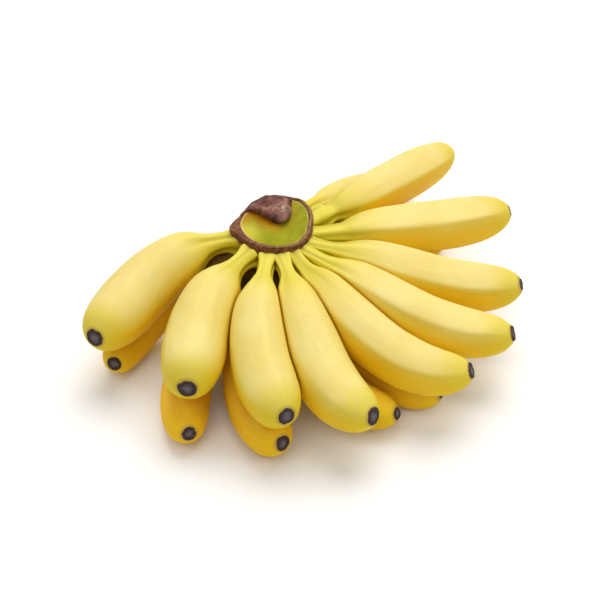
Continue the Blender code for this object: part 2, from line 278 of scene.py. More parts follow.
# Pulls a fruit's skin in where a neighbour leans on it, so that both share one flat, soft-edged face
def makeRoom(fruit, others, centre, spoke, reach):
    pressed = np.full(len(reach), np.inf)
    margin = fruitForm["soften"]
    low, high = centre.min(0), centre.max(0)
    for other in others:
        spare = fruit["radius"].max() + other["radius"].max() + margin
        if (other["centre"].min(0) - spare > high).any() or (other["centre"].max(0) + spare < low).any():
            continue
        out = reach + margin
        close = skinDistance(centre + spoke * out[:, None], other) - margin - fruitForm["gap"] < 0
        if not close.any():
            continue
        c, s, own = centre[close], spoke[close], reach[close]
        inner, outer = own * fruitForm["deepest"], own + margin
        for _ in range(fruitForm["halvings"]):
            middle = (inner + outer) / 2
            free = skinDistance(c + s * middle[:, None], other) - (middle - own) - fruitForm["gap"] >= 0
            inner = np.where(free, middle, inner)
            outer = np.where(free, outer, middle)
        pressed[close] = np.minimum(pressed[close], inner)
    touched = np.isfinite(pressed)
    return np.where(touched, softMin(reach, np.where(touched, pressed, 1), margin), reach)


# How close each point lies to the nearest other fruit, or 1 m where none is near
def nearestSkin(points, others):
    nearest = np.ones(len(points))
    low, high = points.min(0), points.max(0)
    for other in others:
        spare = other["radius"].max() + fruitForm["creviceShade"]
        if (other["centre"].min(0) - spare > high).any() or (other["centre"].max(0) + spare < low).any():
            continue
        nearest = np.minimum(nearest, skinDistance(points, other))
    return nearest


# Keeps the skin within the size of the hand, and on the ground
def keepInside(points):
    low, high = np.array(cadLow) + fruitForm["edgeMargin"], np.array(cadHigh) - fruitForm["edgeMargin"]
    low[2] = 0
    return np.clip(points, low, high)


def newMesh(name, points, faces, material, values):
    mesh = bpy.data.meshes.new(name)
    mesh.from_pydata([tuple(p) for p in points], [], faces)
    mesh.materials.append(material)
    for label, data in values.items():
        layer = mesh.attributes.new(label, "FLOAT", "POINT")
        layer.data.foreach_set("value", np.asarray(data, np.float32).ravel())
    mesh.shade_smooth()
    mesh.update()
    piece = bpy.data.objects.new(name, mesh)
    bpy.context.scene.collection.objects.link(piece)
    return piece


# Quads between closed rings, with a fan at each end, all facing outward
def ringFaces(rings, sides):
    faces = []
    for i in range(rings - 1):
        for j in range(sides):
            k = (j + 1) % sides
            faces.append((i * sides + j, (i + 1) * sides + j, (i + 1) * sides + k, i * sides + k))
    first, last = rings * sides, rings * sides + 1
    for j in range(sides):
        k = (j + 1) % sides
        faces.append((first, j, k))
        faces.append((last, (rings - 1) * sides + k, (rings - 1) * sides + j))
    return faces


# The middle of the first ring and of the last, for the fans
def withEnds(points, sides):
    return np.vstack((points, points[:sides].mean(0), points[-sides:].mean(0)))


def addNode(tree, kind, **settings):
    node = tree.nodes.new(kind)
    for key, value in settings.items():
        setattr(node, key, value)
    return node


# Each value is a socket to link, a number or a colour
def feed(tree, node, values):
    for socket, value in values:
        if isinstance(value, bpy.types.NodeSocket):
            tree.links.new(value, node.inputs[socket])
        else:
            node.inputs[socket].default_value = (*value, 1) if isinstance(value, tuple) else value


def newMaterial(name):
    material = bpy.data.materials.new(name)
    material.use_nodes = True
    tree = material.node_tree
    return material, tree, tree.nodes["Principled BSDF"]


def ownPlace(tree):
    return tree.nodes.new("ShaderNodeTexCoord").outputs["Object"]


def readValue(tree, name):
    return addNode(tree, "ShaderNodeAttribute", attribute_name=name, attribute_type="GEOMETRY").outputs["Fac"]


def colourRamp(tree, source, stops):
    ramp = tree.nodes.new("ShaderNodeValToRGB")
    while len(ramp.color_ramp.elements) < len(stops):
        ramp.color_ramp.elements.new(0.5)
    for element, (at, colour) in zip(ramp.color_ramp.elements, stops):
        element.position = at
        element.color = (*colour, 1)
    feed(tree, ramp, ((0, source),))
    return ramp.outputs[0]


def valueRamp(tree, source, low, high, outLow=0.0, outHigh=1.0):
    node = tree.nodes.new("ShaderNodeMapRange")
    feed(tree, node, (("Value", source), ("From Min", low), ("From Max", high), ("To Min", outLow),
                      ("To Max", outHigh)))
    return node.outputs[0]


def mixColour(tree, amount, first, second):
    node = addNode(tree, "ShaderNodeMix", data_type="RGBA")
    feed(tree, node, ((0, amount), (6, first), (7, second)))
    return node.outputs[2]


def calculate(tree, operation, *values):
    node = addNode(tree, "ShaderNodeMath", operation=operation)
    feed(tree, node, enumerate(values))
    return node.outputs[0]


def multiply(tree, first, second):
    return calculate(tree, "MULTIPLY", first, second)


def noiseField(tree, vector, scale, detail, rough):
    node = tree.nodes.new("ShaderNodeTexNoise")
    feed(tree, node, (("Vector", vector), ("Scale", scale), ("Detail", detail), ("Roughness", rough)))
    return node.outputs[0]


def cellField(tree, vector, scale):
    node = tree.nodes.new("ShaderNodeTexVoronoi")
    feed(tree, node, (("Vector", vector), ("Scale", scale)))
    return node.outputs[0]


def addBump(tree, height, strength, distance):
    node = tree.nodes.new("ShaderNodeBump")
    feed(tree, node, (("Height", height), ("Strength", strength), ("Distance", distance)))
    return node


def finishShader(tree, shader, look, colour, height):
    bump = addBump(tree, height, *look["bump"])
    feed(tree, shader, (("Base Color", colour), ("Normal", bump.outputs[0]),
                        ("Roughness", look["rough"]), ("Specular IOR Level", look["specular"])))


def addGlow(tree, shader, look):
    feed(tree, shader, (("Subsurface Weight", look["glow"]), ("Subsurface Scale", look["glowDepth"])))
    shader.inputs["Subsurface Radius"].default_value = look["glowReach"]


peelLook = {
    "body": (0.73, 0.52, 0.004),
    "pale": (0.75, 0.56, 0.012),
    # painted shade: the deeper orange of the sides and underside, away from the light above
    "deep": (0.95, 0.53, 0.003),
    # ripe: deeper orange of riper skin, which the shaded lower row carries most, so partly painted shade
    "ripe": (0.95, 0.47, 0.002),
    "neck": (0.66, 0.59, 0.010),
    "tipGreen": (0.64, 0.53, 0.006),
    "seam": (0.80, 0.62, 0.045),
    "crease": (0.62, 0.50, 0.02),
    "freckle": (0.40, 0.16, 0.01),
    "tipBrown": (0.42, 0.27, 0.06),
    # darker in the neck's groove valleys: partly the skin's streaks, partly painted shade
    "groove": (0.42, 0.33, 0.008),
    # painted shade: brown in the hollows between the necks near the crown
    "recessShadeBrown": (0.10, 0.034, 0.008),
    # painted shade where another fruit lies close
    "creviceShade": (0.50, 0.25, 0.012),
    "litTopPaint": (0.95, 0.98, 0.90),
    "litTopShare": 0.23,  # painted light: a pale wash where the skin faces up, standing for the light falling on the tops
    "ripeness": 0.6,
    "tipFade": 0.8,  # how much of the tip's green a ripe fruit has lost
    "ridgeGain": 2,
    # scale, detail and roughness of each pattern
    "clouds": (38, 3, 0.55),
    "patches": (95, 4, 0.6),
    "streaks": (5.5, 4, 0.6),
    "pores": (900, 2, 0.5),
    "rare": (60, 1, 0.5),
    "freckles": 190,
    # where each mark starts and ends in its pattern, and its strength at both
    "paleFrom": (0.38, 0.62, 0, 1),
    "patchFrom": (0.52, 0.70, 0, 0.30),
    "deepFrom": (0.35, 0.0, 0, 0.45),
    "lightStreak": (0.50, 0.74, 0, 0.50),
    "darkStreak": (0.47, 0.30, 0, 0.34),
    "ridgeLine": (0.80, 1.0, 0, 0.40),
    "neckFrom": (0.36, 0.10, 0, 0.85),
    "tipFrom": (0.86, 0.985, 0, 0.65),
    "tipPatches": (0.2, 0.6, 0.5, 1.0),
    "litTopPatches": (0.3, 0.7, 0.8, 1.15),
    "freckleEdge": (0.12, 0.05, 0, 0.4),
    "freckleSpread": (0.60, 0.70, 0, 1),
    "grooveStreak": (0.35, 0.60, 0.40, 0.90),
    "tipEdge": (0.990, 0.999, 0, 0.7),
    "rough": (0.3, 0.7, 0.45, 0.58),
    "specular": {"upper": 0.2, "middle": 0.1, "lower": 0.1},
    "glow": 0.08,
    "glowReach": (1.0, 0.55, 0.12),
    "glowDepth": 2.5 * mm,
    "streakBump": (0.30, 0.40 * mm),
    "poreBump": (0.12, 0.08 * mm),
}


def peelMaterial(name, fruit, seed):
    material, tree, shader = newMaterial(name)
    look, warm = peelLook, fruit["warm"]
    place = ownPlace(tree)
    along, edge, sunny = (readValue(tree, label) for label in ("along", "edge", "sunny"))
    grain = tree.nodes.new("ShaderNodeCombineXYZ")
    feed(tree, grain, enumerate(readValue(tree, label) for label in ("grainX", "grainY", "grainZ")))
    cloudScale, *cloudDetail = look["clouds"]
    patchScale, *patchDetail = look["patches"]
    clouds = noiseField(tree, place, cloudScale + seed % 5, *cloudDetail)
    patches = noiseField(tree, place, patchScale + seed % 7, *patchDetail)
    streaks = noiseField(tree, grain.outputs[0], *look["streaks"])

    body = mixColour(tree, valueRamp(tree, clouds, *look["paleFrom"]), look["body"], look["pale"])
    body = mixColour(tree, valueRamp(tree, patches, *look["patchFrom"]), body, look["tipGreen"])
    # Painted shade: deeper orange where the skin faces sideways or down
    body = mixColour(tree, valueRamp(tree, sunny, *look["deepFrom"]), body, look["deep"])
    # Partly ripeness, partly painted shade on the lower row under the upper one
    body = mixColour(tree, look["ripeness"] * warm, body, look["ripe"])
    body = mixColour(tree, valueRamp(tree, streaks, *look["lightStreak"]), body, look["seam"])
    body = mixColour(tree, valueRamp(tree, streaks, *look["darkStreak"]), body, look["crease"])
    angular = min(1.0, look["ridgeGain"] * fruit["edge"])
    ridge = multiply(tree, valueRamp(tree, edge, *look["ridgeLine"]), angular)
    body = mixColour(tree, ridge, body, look["seam"])
    neck = multiply(tree, valueRamp(tree, along, *look["neckFrom"]), fruit["green"])
    body = mixColour(tree, neck, body, look["neck"])
    *tipRun, tipMost = look["tipFrom"]
    tipGreen = multiply(tree, valueRamp(tree, along, *tipRun, tipMost * (1 - look["tipFade"] * warm)),
                        valueRamp(tree, clouds, *look["tipPatches"]))
    body = mixColour(tree, tipGreen, body, look["tipGreen"])
    # Painted light: the skin is washed pale where it faces up (sunny), as if lit from above
    low, high, least, most = look["litTopPatches"]
    litTopShare = valueRamp(tree, clouds, low, high, least * look["litTopShare"], most * look["litTopShare"])
    body = mixColour(tree, multiply(tree, sunny, litTopShare), body, look["litTopPaint"])
    spots = valueRamp(tree, cellField(tree, place, look["freckles"]), *look["freckleEdge"])
    rare = valueRamp(tree, noiseField(tree, place, *look["rare"]), *look["freckleSpread"])
    body = mixColour(tree, multiply(tree, spots, rare), body, look["freckle"])
    # Partly streak colour, partly painted shade: darker in the neck's groove valleys
    groove = multiply(tree, readValue(tree, "groove"), valueRamp(tree, streaks, *look["grooveStreak"]))
    body = mixColour(tree, groove, body, look["groove"])
    # Painted shade: darker where another fruit lies close
    body = mixColour(tree, readValue(tree, "creviceShade"), body, look["creviceShade"])
    # Painted shade: brown in the hollows round the necks at the crown
    body = mixColour(tree, readValue(tree, "recess"), body, look["recessShadeBrown"])
    body = mixColour(tree, valueRamp(tree, along, *look["tipEdge"]), body, look["tipBrown"])

    coarse = addBump(tree, streaks, *look["streakBump"])
    pores = addBump(tree, noiseField(tree, place, *look["pores"]), *look["poreBump"])
    feed(tree, pores, (("Normal", coarse.outputs[0]),))
    feed(tree, shader, (("Base Color", body), ("Roughness", valueRamp(tree, streaks, *look["rough"])),
                        ("Normal", pores.outputs[0]), ("Specular IOR Level", look["specular"][fruit["row"]])))
    addGlow(tree, shader, look)
    return material


# From 0 at low to 1 at high, eased at both ends; high may be the smaller one
def smoothStep(value, low, high):
    t = np.clip((value - low) / (high - low), 0, 1)
    return t * t * (3 - 2 * t)


# Points of a ring grid, one row a ring: how far their skin faces up
def upwardness(grid, centre):
    roundWay = np.roll(grid, -1, axis=1) - np.roll(grid, 1, axis=1)
    square = np.cross(np.gradient(grid, axis=0), roundWay)
    square /= np.linalg.norm(square, axis=2)[..., None] + 1e-12
    outward = np.sign((square * (grid - centre[:, None])).sum(2))
    return square[..., 2] * outward


# A fruit's reach from its centre line before its neighbours press on it, and its neck grooves
def skinReach(fruit, share, centre, angle):
    seed = fruit["number"]
    (rootSpeed, rootLeast), (tipSpeed, tipLeast) = fruitForm["ridgeGrowth"]
    grown = np.clip(share * rootSpeed, rootLeast, 1) * np.clip((1 - share) * tipSpeed, tipLeast, 1)
    section = 1 + (sectionShape(angle, fruit)[None, :] - 1) * grown[:, None]
    lumps = sum(np.sin(count * angle[None, :] + turn * share[:, None] + shift * seed)
                for count, turn, shift in fruitForm["lumpWaves"])
    reach = fruitRadius(fruit, share)[:, None] * section * (1 + fruitForm["lump"] / 2 * lumps)
    fromWall = np.linalg.norm(centre[:, :2] - crownAxis[:2], axis=1) - handLayout["crownRadius"]
    fromWall = np.maximum(fromWall + fruitForm["rootDepth"], 0)
    reach = reach + (fruitForm["flare"] * np.exp(-fromWall / fruitForm["flareRun"]))[:, None]
    square = fruitForm["square"] * np.exp(-fromWall / fruitForm["squareRun"])[:, None] * np.cos(4 * angle)
    waves = fruitForm["grooveWaves"]
    fold = sum(depth * np.sin(count * angle + shift * seed) for depth, count, shift in waves)
    fold = fold * smoothStep(share, *fruitForm["grooveRun"])[:, None]
    return reach * (1 - square) * (1 + fruitForm["groove"] * fold), fold


skinShade = {
    # runs are shares of the length, and facings how far the skin faces up
    "hollowRun": (0.36, 0.14),  # painted shade, brown, under the upper necks
    "hollowFacing": (0.3, -0.4),
    "hollowMost": 0.40,
    "lowerRun": (0.44, 0.26),  # painted shade, brown, on top of the lower necks, where the upper row shades them
    "lowerFacing": (-0.5, 0.1),
    "lowerLeast": 0.25,
    # painted light: how far up the skin must face to be washed pale, how it fades at the neck and tip, and
    # how little the shaded lower row gets
    "sunFacing": (0.0, 0.95),
    "sunNeck": (0.12, 0.42, 0.35),
    "sunTip": (0.82, 0.97, 0.6),
    "sunLower": 0.15,
    "alsoLit": ("finger_18",),
    "recess": 0.9,
    "creviceShade": 0.7,
    "groove": -1.3,
}


def shadeSkin(fruit, share, facing):
    shade = skinShade
    lit = fruit["row"] == "upper" or fruit["name"] in shade["alsoLit"]
    if lit:
        neck = shade["hollowMost"] * smoothStep(share, *shade["hollowRun"])[:, None]
        hollowShade = neck * smoothStep(facing, *shade["hollowFacing"])
    else:
        least = shade["lowerLeast"]
        neck = smoothStep(share, *shade["lowerRun"])[:, None]
        hollowShade = neck * (least + (1 - least) * smoothStep(facing, *shade["lowerFacing"]))
    *neckRun, neckLeast = shade["sunNeck"]
    *tipRun, tipLoss = shade["sunTip"]
    # sunny is painted light: high where the skin faces up, low on the sides and underside
    sunny = smoothStep(facing, *shade["sunFacing"])
    sunny = sunny * (neckLeast + (1 - neckLeast) * smoothStep(share, *neckRun))[:, None]
    sunny = sunny * (1 - tipLoss * smoothStep(share, *tipRun))[:, None] * (1.0 if lit else shade["sunLower"])
    return hollowShade, sunny


def buildFruit(fruit, fruits):
    rings, sides, seed = fruitForm["rings"], fruitForm["sides"], fruit["number"]
    t = np.linspace(0, 1, rings)
    share = t - fruitForm["bunching"] * np.sin(2 * math.pi * t)
    centre, along, side, up, length = fruitLine(fruit, share)
    angle = math.pi / 2 + 2 * math.pi * np.arange(sides) / sides
    spoke = np.cos(angle)[None, :, None] * side[:, None] + np.sin(angle)[None, :, None] * up[:, None]
    reach, fold = skinReach(fruit, share, centre, angle)
    others = [other for name, other in fruits.items() if name != fruit["name"]]
    centres, spokes = np.repeat(centre, sides, axis=0), spoke.reshape(-1, 3)
    points = keepInside(centres + spokes * makeRoom(fruit, others, centres, spokes, reach.ravel())[:, None])
    # painted shade, from how close another fruit's skin lies
    creviceShade = smoothStep(nearestSkin(points, others), fruitForm["creviceShade"], fruitForm["creviceShadeFull"])
    hollowShade, sunny = shadeSkin(fruit, share, upwardness(points.reshape(rings, sides, 3), centre))
    points = withEnds(points, sides)
    fromRidge = ridgeAngle(angle, fruit) / (math.pi / fruitForm["faces"])
    alongValue = np.append(np.repeat(share, sides), (0, 1))
    ends = (0, 0)
    values = {
        "along": alongValue,
        "edge": np.append(np.tile(1 - np.abs(fromRidge), rings), ends),
        "sunny": np.append(sunny.ravel(), ends),
        "recess": np.append(skinShade["recess"] * hollowShade.ravel(), ends),
        "creviceShade": np.append(skinShade["creviceShade"] * creviceShade, ends),
        "groove": np.append(np.clip(skinShade["groove"] * fold, 0, 1).ravel(), ends),
        "grainX": np.append(np.tile(np.cos(angle), rings), ends) + seed,
        "grainY": np.append(np.tile(np.sin(angle), rings), ends),
        "grainZ": alongValue * 0.9 + seed * 3,
    }
    name = "peel_" + fruit["name"]
    piece = newMesh(name, points, ringFaces(rings, sides), peelMaterial(name, fruit, seed), values)
    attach(piece, "root")
    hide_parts(fruit["name"])


tipForm = {
    "profile": (  # share of the fruit's blunt end, height over it in millimetres, how folded
        (1.22, -1.10, 0.3), (1.17, -0.42, 0.6), (1.10, -0.02, 0.9), (1.02, 0.34, 1.0), (0.94, 0.56, 1.0),
        (0.86, 0.62, 1.0), (0.77, 0.54, 0.9), (0.66, 0.40, 0.7), (0.52, 0.30, 0.5), (0.38, 0.28, 0.4),
        (0.24, 0.34, 0.3), (0.12, 0.42, 0.2),
    ),
    "folds": 6,
    "foldDepth": 0.055,
    "foldMix": (0.2, 1.3, 0.7),  # shares of the even folds, the broad waves and the small ones
    "waveSize": 1.9,
    "smallWaves": 4.0,
    "unevenness": 0.18 * mm,
    "overhang": 0.55,  # how far the cap's skirt drops where it is wider than the fruit's end
    "sides": 72,
    "tones": (  # from the skirt to the middle
        (0.0, (0.20, 0.10, 0.025)), (0.10, (0.065, 0.032, 0.018)), (0.25, (0.034, 0.020, 0.017)),
        (0.50, (0.050, 0.036, 0.036)), (0.80, (0.120, 0.090, 0.096)), (1.0, (0.15, 0.115, 0.12)),
    ),
    "toneStart": 1.15,
    "grain": (1500, 4, 0.6),
    "blotches": (420, 3, 0.6),
    "blotchShift": (0.3, 0.7, -0.20, 0.20),
    "rough": 0.78,
    "specular": 0.3,
    "bump": (0.5, 0.15 * mm),
}


def tipMaterial():
    material, tree, shader = newMaterial("dried_tip")
    look, place = tipForm, ownPlace(tree)
    blotches = valueRamp(tree, noiseField(tree, place, *look["blotches"]), *look["blotchShift"])
    shade = calculate(tree, "ADD", readValue(tree, "inward"), blotches)
    colour = colourRamp(tree, shade, look["tones"])
    finishShader(tree, shader, look, colour, noiseField(tree, place, *look["grain"]))
    return material


# The dried flower end: a thin dark cap, puckered round a sunken middle
def buildTip(fruit, material):
    sides, seed = tipForm["sides"], fruit["number"]
    end, ahead, side, up, radius = (fruit[key][-1] for key in ("centre", "along", "side", "up", "radius"))
    angle = 2 * math.pi * np.arange(sides) / sides
    spoke = np.cos(angle)[:, None] * side + np.sin(angle)[:, None] * up
    evenShare, broadShare, smallShare = tipForm["foldMix"]
    waveSize = tipForm["waveSize"]
    points, inward = [], []
    for size, height, fold in tipForm["profile"]:
        depth = seed + 0.5 * size
        spots = [Vector((waveSize * math.cos(a), waveSize * math.sin(a), depth)) for a in angle]
        wave = np.array([noise.noise(spot) for spot in spots])
        small = np.array([noise.noise(spot * tipForm["smallWaves"]) for spot in spots])
        folds = np.sin(tipForm["folds"] * angle + seed + 3 * wave)
        wide = radius * size * (1 + (fruit["cap"] - 1) * smoothStep(size, 0.1, 0.9))
        mixed = evenShare * folds + broadShare * wave + smallShare * small
        ring = wide * (1 + tipForm["foldDepth"] * fold * mixed)
        drop = max(wide - radius, 0) * tipForm["overhang"]
        lift = height * mm - drop + tipForm["unevenness"] * fold * (wave + small)
        points.append(end + ahead * lift[:, None] + ring[:, None] * spoke)
        inward.append(np.full(sides, min(max(tipForm["toneStart"] - size, 0), 1)))
    points = keepInside(withEnds(np.vstack(points), sides))
    values = {"inward": np.append(np.concatenate(inward), (0, 1))}
    faces = ringFaces(len(tipForm["profile"]), sides)
    piece = newMesh("tip_" + fruit["name"], points, faces, material, values)
    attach(piece, "root")


crownForm = {
    "sides": 240,
    "rim": (  # from the cut face (0) to the crown's edge (1), height, share of raggedness
        (-6.0, 57.4, 0), (-2.5, 57.4, 0), (-0.9, 57.9, 0), (-0.35, 59.2, 0.2), (-0.12, 60.6, 0.5),
        (0.02, 61.4, 0.8), (0.16, 61.9, 1.0), (0.32, 62.0, 1.0), (0.50, 61.7, 1.0), (0.68, 61.8, 1.0),
        (0.84, 61.7, 1.0), (0.95, 61.2, 1.0),
    ),
    "wall": (  # in from the edge, height, share of raggedness
        (0.0, 60.4, 1.0), (0.05, 59.4, 0.9), (0.25, 58.4, 0.9), (0.40, 57.5, 0.8), (0.55, 56.8, 0.6),
        (0.7, 55.6, 0.3), (0.9, 54.0, 0.3), (1.2, 52.0, 0.3), (1.6, 49.5, 0.3), (1.9, 47.0, 0.3),
        (2.2, 44.0, 0.3), (2.4, 41.0, 0.3), (2.8, 38.5, 0.3), (3.6, 36.2, 0.3), (5.2, 34.0, 0.3),
        (7.6, 32.5, 0.3), (11.0, 31.6, 0.2), (16.0, 31.4, 0.1), (20.5, 31.4, 0),
    ),
    "ragged": 0.55 * mm,
    "faceOutline": (  # bearing in degrees, radius of the cut face in millimetres
        (0, 18.5), (35, 22), (50, 23), (65, 22), (90, 20.5), (120, 18.5), (150, 17), (165, 17.5), (180, 17),
        (200, 16.5), (225, 15.5), (256, 16), (278, 16.5), (297, 17.5), (317, 18.5), (340, 19), (360, 18.5),
    ),
    "tones": ((0.28, (0.050, 0.017, 0.009)), (0.5, (0.185, 0.062, 0.026)), (0.72, (0.31, 0.14, 0.07))),
    "flakes": (420, 5, 0.65),
    "clouds": (120, 3, 0.5),
    "strip": (0.38, 0.28, 0.04),  # paler cut skin on top of the rim, between two dark edges
    "stripFrom": (0.35, 0.60, 0.25, 1.0),
    "fresh": ((0.30, 0.21, 0.022), (0.42, 0.31, 0.035)),  # the living side below the dried rim
    "freshFrom": (0.35, 0.65),
    # painted shade: the crown darkens lower down, under the necks
    "deep": (0.16, 0.085, 0.012),
    "deepFrom": (7.0, 14.0, 0, 1),  # millimetres below the top, over which the painted shade darkens the crown
    "driedTo": (4.2, 5.6),
    "driedWander": (0.3, 0.7, -0.8, 0.8),
    "rough": 0.62,
    "specular": 0.25,
    "bump": (0.8, 0.5 * mm),
}


def tiltWithFace(points):
    pivot = crownAxis + np.array((0, 0, handLayout["crownTop"]))
    c, s = math.cos(handLayout["faceTilt"]), math.sin(handLayout["faceTilt"])
    away = points - pivot
    turned = np.stack((away[:, 0], c * away[:, 1] - s * away[:, 2], s * away[:, 1] + c * away[:, 2]), axis=1)
    return pivot + turned


def raggedness(angle, height, seed):
    value = []
    for a in angle:
        spot = Vector((math.cos(a) * 3.4, math.sin(a) * 3.4, height * 60 + seed))
        value.append(noise.noise(spot) + 0.5 * noise.noise(spot * 3.1))
    return np.array(value)


def crownSkinMaterial():
    material, tree, shader = newMaterial("crown_skin")
    look, place, drop = crownForm, ownPlace(tree), readValue(tree, "drop")
    flakes = noiseField(tree, place, *look["flakes"])
    clouds = noiseField(tree, place, *look["clouds"])
    strip = multiply(tree, readValue(tree, "strip"), valueRamp(tree, clouds, *look["stripFrom"]))
    rim = mixColour(tree, strip, colourRamp(tree, flakes, look["tones"]), look["strip"])
    fresh = mixColour(tree, valueRamp(tree, clouds, *look["freshFrom"]), *look["fresh"])
    # Painted shade: darker further below the top
    lower = mixColour(tree, valueRamp(tree, drop, *look["deepFrom"]), fresh, look["deep"])
    wander = calculate(tree, "ADD", drop, valueRamp(tree, clouds, *look["driedWander"]))
    colour = mixColour(tree, valueRamp(tree, wander, *look["driedTo"]), rim, lower)
    finishShader(tree, shader, look, colour, flakes)
    return material


def buildCrownBody():
    sides, ragged = crownForm["sides"], crownForm["ragged"]
    angle = 2 * math.pi * np.arange(sides) / sides
    rim = crownOutline(angle, 0)
    cut = crownOutline(angle, 0, crownForm["faceOutline"])
    rows = [(cut + (rim - cut) * across if across > 0 else cut + across * mm, height, rough, across)
            for across, height, rough in crownForm["rim"]]
    for inset, height, rough in crownForm["wall"]:
        edge = crownOutline(angle, handLayout["crownTop"] - height * mm)
        rows.append((edge - inset * mm, height, rough, 1.0))
    points, drops, strips = [], [], []
    for radius, height, rough, across in rows:
        radius = radius + ragged * rough * (raggedness(angle, height * 0.02, 3.0) - 0.25)
        radius = np.maximum(radius, 0.3 * mm)
        lift = height * mm + ragged * 0.8 * rough * (raggedness(angle, height * 0.02, 9.0) - 0.3)
        points.append(np.stack((radius * np.cos(angle), radius * np.sin(angle), lift), axis=1) + crownAxis)
        drops.append(np.full(sides, handLayout["crownTop"] / mm - height))
        strips.append(max(0, 1 - abs(across - 0.5) / 0.28) * (0.45 + 0.40 * np.cos(angle - 0.2)))
    points = withEnds(tiltWithFace(np.vstack(points)), sides)
    values = {
        "drop": np.append(np.concatenate(drops), (0, 30)),
        "strip": np.append(np.concatenate(strips), (0, 0)),
    }
    piece = newMesh("crown_body", points, ringFaces(len(rows), sides), crownSkinMaterial(), values)
    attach(piece, "root")
    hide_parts("crown")


faceForm = {
    "sides": 160,
    "rows": 40,
    "overlap": 0.25 * mm,  # how far its edge runs under the rim
    "top": 61.1 * mm,
    "dish": 2.2 * mm,
    "base": 57.3 * mm,
    "lumps": ((0.28 * mm, 0.22), (0.15 * mm, 0.9)),  # height, closeness
    "flapSteps": 60,
    "greens": ((0.215, 0.235, 0.004), (0.31, 0.31, 0.009)),
    "greenFrom": (0.38, 0.62),
    "bright": (0.60, 0.53, 0.055),
    "brightSpot": (-14, -4, 8, 0.8),  # place in the crown's plan, size in millimetres, strength
    "brightCore": 1.35,
    "fibre": (0.44, 0.39, 0.025),
    "fibreFrom": (0.45, 0.75, 0, 0.40),
    "cell": (0.18, 0.15, 0.006),
    "cellFrom": (0.25, 0.08, 0, 0.35),
    "flapShadow": (0.42, 0.155, 0.002),  # painted shadow of the flap, along its free edge
    "flapShadowReach": 5,
    "flapShadowAcross": ((-15, 0.8), (-11, 1.0), (0, 0.9), (6, 0.25)),
    "cream": (0.66, 0.48, 0.20),  # the pale line just inside the rim
    "creamFrom": (0.915, 0.955, 0, 0.75),
    "creamSide": (235, 0.30, 0.35),  # bearing of the strongest part, least strength, half its range
    "edge": (0.20, 0.085, 0.045),
    "edgeFrom": (0.975, 1.0, 0, 0.85),
    "fibres": (700, 5, 0.7),
    "clouds": (110, 3, 0.55),
    "cells": 900,
    "rough": 0.5,
    "specular": 0.08,
    "glow": 0.05,
    "glowReach": (0.8, 0.8, 0.2),
    "glowDepth": 1.5 * mm,
    "bump": (0.7, 0.35 * mm),
}


def faceMaterial():
    material, tree, shader = newMaterial("cut_face")
    look, place, outward = faceForm, ownPlace(tree), readValue(tree, "outward")
    fibres = noiseField(tree, place, *look["fibres"])
    clouds = noiseField(tree, place, *look["clouds"])
    cells = cellField(tree, place, look["cells"])
    green = mixColour(tree, valueRamp(tree, clouds, *look["greenFrom"]), *look["greens"])
    green = mixColour(tree, readValue(tree, "bright"), green, look["bright"])
    green = mixColour(tree, valueRamp(tree, fibres, *look["fibreFrom"]), green, look["fibre"])
    green = mixColour(tree, valueRamp(tree, cells, *look["cellFrom"]), green, look["cell"])
    # Painted shadow cast by the flap on the cut face
    green = mixColour(tree, readValue(tree, "flapShadow"), green, look["flapShadow"])
    cream = multiply(tree, readValue(tree, "cream"), valueRamp(tree, outward, *look["creamFrom"]))
    green = mixColour(tree, cream, green, look["cream"])
    green = mixColour(tree, valueRamp(tree, outward, *look["edgeFrom"]), green, look["edge"])
    finishShader(tree, shader, look, green, fibres)
    addGlow(tree, shader, look)
    return material


# The cut itself: a dished, slightly torn disc that fills the rim
def buildCutFace():
    sides, rows = faceForm["sides"], faceForm["rows"]
    angle = 2 * math.pi * np.arange(sides) / sides
    edge = crownOutline(angle, 0, crownForm["faceOutline"]) + faceForm["overlap"]
    knots = np.array(flapForm["edge"], float)
    steps = np.linspace(0, len(knots) - 1, faceForm["flapSteps"])
    flapLine = [[np.interp(t, range(len(knots)), knots[:, k]) for k in (0, 1)] for t in steps]
    brightX, brightY, brightSize, brightMost = faceForm["brightSpot"]
    creamBearing, creamLeast, creamHalf = faceForm["creamSide"]
    rings, outward, flapShadow, bright, cream = [], [], [], [], []
    for row in range(rows, 0, -1):
        share = row / rows
        x, y = edge * share * np.cos(angle), edge * share * np.sin(angle)
        z = np.full(sides, faceForm["top"] - faceForm["dish"] * (1 - share ** 3))
        for k in range(sides):
            spot = Vector((x[k] / mm, y[k] / mm, 0))
            z[k] += sum(height * noise.noise(spot * closeness) for height, closeness in faceForm["lumps"])
        rings.append(np.stack((x, y, z), axis=1) + crownAxis)
        outward.append(np.full(sides, share))
        toFlap = np.min([np.hypot(x / mm - across, y / mm - back) for across, back in flapLine], axis=0)
        # painted shadow of the flap, fading away from its edge and stronger towards the left
        flapShadowShare = np.interp(x / mm, *zip(*faceForm["flapShadowAcross"]))
        flapShadow.append(np.exp(-(toFlap / faceForm["flapShadowReach"]) ** 2) * flapShadowShare)
        fromSpot = np.hypot((x / mm - brightX) / brightSize, (y / mm - brightY) / brightSize)
        bright.append(np.clip(faceForm["brightCore"] - fromSpot, 0, 1) * brightMost)
        cream.append(creamLeast + creamHalf * (1 + np.cos(angle - math.radians(creamBearing))))
    wall = rings[0].copy()
    wall[:, 2] = faceForm["base"]
    rings.insert(0, wall)
    outward.insert(0, np.ones(sides))
    for shade in (flapShadow, bright, cream):
        shade.insert(0, np.zeros(sides))
    points = withEnds(tiltWithFace(np.vstack(rings)), sides)
    values = {"outward": np.append(np.concatenate(outward), (1, 0))}
    for label, shade in (("flapShadow", flapShadow), ("bright", bright), ("cream", cream)):
        values[label] = np.append(np.concatenate(shade), (0, 0))
    faces = [tuple(reversed(face)) for face in ringFaces(len(rings), sides)]  # the rings run inward
    piece = newMesh("cut_face", points, faces, faceMaterial(), values)
    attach(piece, "root")


